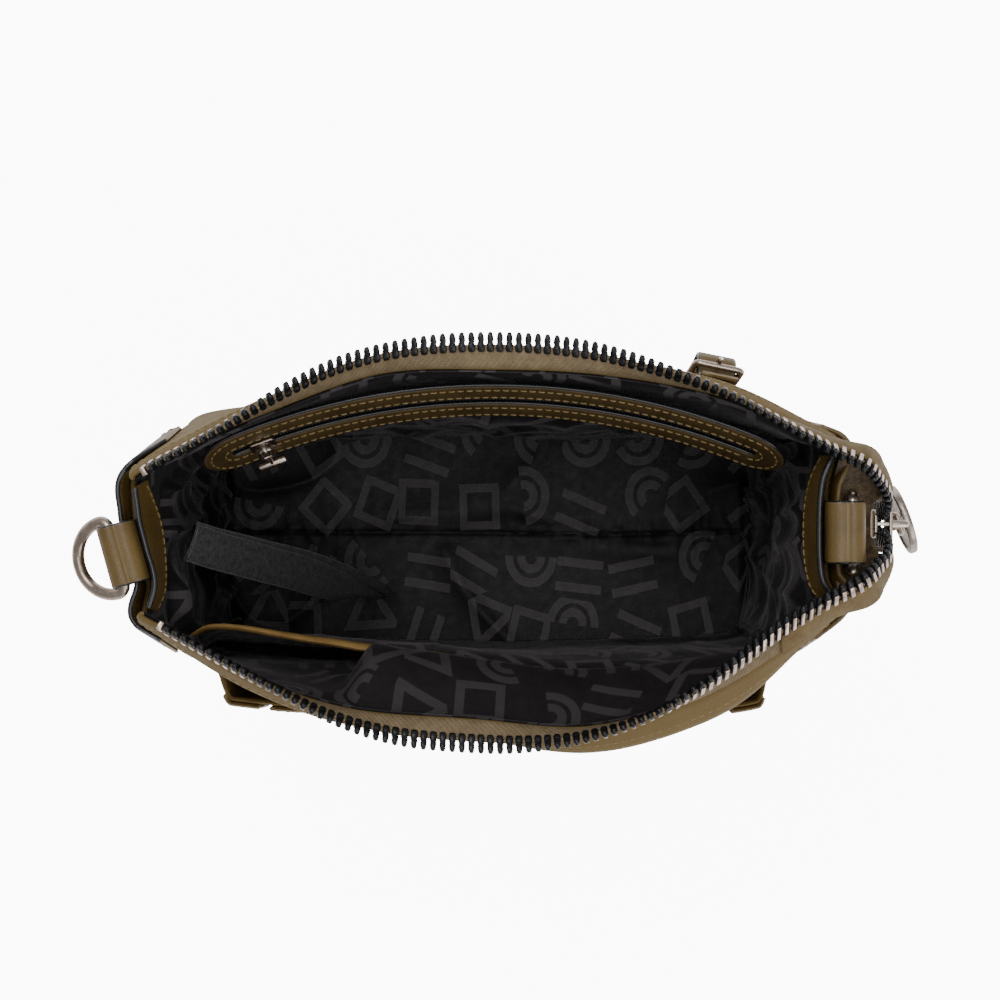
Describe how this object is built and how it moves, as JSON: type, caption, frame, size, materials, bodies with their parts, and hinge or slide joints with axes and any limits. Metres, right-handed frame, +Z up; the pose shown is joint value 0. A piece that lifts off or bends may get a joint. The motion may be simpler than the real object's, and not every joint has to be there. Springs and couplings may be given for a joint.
{
  "type": "crossbody purse",
  "caption": "Open zip-top nylon crossbody purse with leather end trims, ring loops, lined interior with zipped and slip pockets, patch pocket and a buckled rear strap.",
  "frame": {"origin": "middle of the base's flat underside", "axes": "+Z up through the open mouth, +X along the zip towards the end where its slider rests, +Y towards the back wall"},
  "size_m": [0.2668, 0.1287, 0.1771],
  "materials": {
    "nylon_shell": "satin woven nylon",
    "printed_lining": "black twill lining with a tone-on-tone geometric print",
    "smooth_leather": "smooth semi-gloss leather with painted edges",
    "pebbled_leather": "fine pebbled matt leather",
    "tan_binding": "narrow tan leather binding",
    "twill_tape": "twill woven zip tape",
    "black_zip": "black coil zip on woven tape",
    "zip_teeth_metal": "dark oxidised metal with bright worn edges",
    "warm_nickel": "brushed warm nickel",
    "black_ribbon": "black grosgrain ribbon",
    "stiff_board": "pressed fibre board"
  },
  "bodies": {
    "bag": {"back_panel": "nylon_shell", "base_board": "stiff_board", "base_panel": "nylon_shell", "front_panel": "nylon_shell", "front_pocket_band": "smooth_leather", "front_pocket_panel": "nylon_shell", "front_pocket_tab_left": "smooth_leather", "front_pocket_tab_right": "smooth_leather", "inner_pocket_bag": "printed_lining", "inner_pocket_frame": "smooth_leather", "inner_zip_lower": "black_zip", "inner_zip_upper": "black_zip", "key_ribbon": "black_ribbon", "left_end_patch": "smooth_leather", "left_inner_patch": "smooth_leather", "left_ring_tab": "smooth_leather", "left_side_panel": "nylon_shell", "lining_back": "printed_lining", "lining_base": "printed_lining", "lining_front": "printed_lining", "lining_left": "printed_lining", "lining_right": "printed_lining", "rear_keeper": "smooth_leather", "rear_strap": "smooth_leather", "right_end_patch": "smooth_leather", "right_inner_patch": "smooth_leather", "right_ring_tab": "smooth_leather", "right_side_panel": "nylon_shell", "slip_pocket_binding": "tan_binding", "slip_pocket_panel": "printed_lining", "zip_bottom_stop": "warm_nickel", "zip_end_tab": "smooth_leather", "zip_tape_back": "twill_tape", "zip_tape_front": "twill_tape", "zip_teeth_back": "zip_teeth_metal", "zip_teeth_front": "zip_teeth_metal", "zip_top_stop_back": "zip_teeth_metal", "zip_top_stop_front": "zip_teeth_metal", "zip_wing_back": "pebbled_leather", "zip_wing_front": "pebbled_leather"},
    "main_slider": {"main_slider": "warm_nickel"},
    "main_link": {"main_pull_link": "warm_nickel"},
    "main_disc": {"main_pull_disc": "warm_nickel"},
    "left_ring": {"left_d_ring": "warm_nickel"},
    "right_ring": {"right_d_ring": "warm_nickel"},
    "inner_slider": {"inner_slider": "warm_nickel"},
    "inner_pull": {"inner_pull": "warm_nickel"},
    "buckle_frame": {"rear_buckle_frame": "warm_nickel"},
    "buckle_prong": {"rear_buckle_prong": "warm_nickel"}
  },
  "joints": [
    {"name": "main_slider_slide", "type": "slide", "parent": "bag", "child": "main_slider", "axis": [0, 0, -1], "range_m": [0, 0.005]},
    {"name": "main_link_hinge", "type": "hinge", "parent": "main_slider", "child": "main_link", "pos_m": [0.1311, 0.005, 0.1391], "axis": [0.3256, -0.9455, 0], "range_deg": [0, 90]},
    {"name": "main_disc_hinge", "type": "hinge", "parent": "main_link", "child": "main_disc", "pos_m": [0.1311, 0.005, 0.1331], "axis": [0.3256, -0.9455, 0], "range_deg": [0, 12]},
    {"name": "left_ring_hinge", "type": "hinge", "parent": "bag", "child": "left_ring", "pos_m": [-0.1126, -0.0046, 0.162], "axis": [0.2672, -0.9636, 0], "range_deg": [-115, 48]},
    {"name": "right_ring_hinge", "type": "hinge", "parent": "bag", "child": "right_ring", "pos_m": [0.1131, 0.0026, 0.162], "axis": [0, 1, 0], "range_deg": [-24, 0]},
    {"name": "inner_slider_travel", "type": "hinge", "parent": "bag", "child": "inner_slider", "pos_m": [0.003, -0.168, 0.141], "axis": [0, 0, -1], "range_deg": [0, 40]},
    {"name": "inner_pull_hinge", "type": "hinge", "parent": "inner_slider", "child": "inner_pull", "pos_m": [-0.06911, 0.02798, 0.14154], "axis": [-0.9385, -0.3453, 0], "range_deg": [0, 100]},
    {"name": "buckle_frame_hinge", "type": "hinge", "parent": "bag", "child": "buckle_frame", "pos_m": [0.07182, 0.05139, 0.13637], "axis": [-0.9798, 0.2002, 0], "range_deg": [0, 6]},
    {"name": "buckle_prong_hinge", "type": "hinge", "parent": "buckle_frame", "child": "buckle_prong", "pos_m": [0.07182, 0.05139, 0.13637], "axis": [-0.9798, 0.2002, 0], "range_deg": [0, 18]}
  ]
}
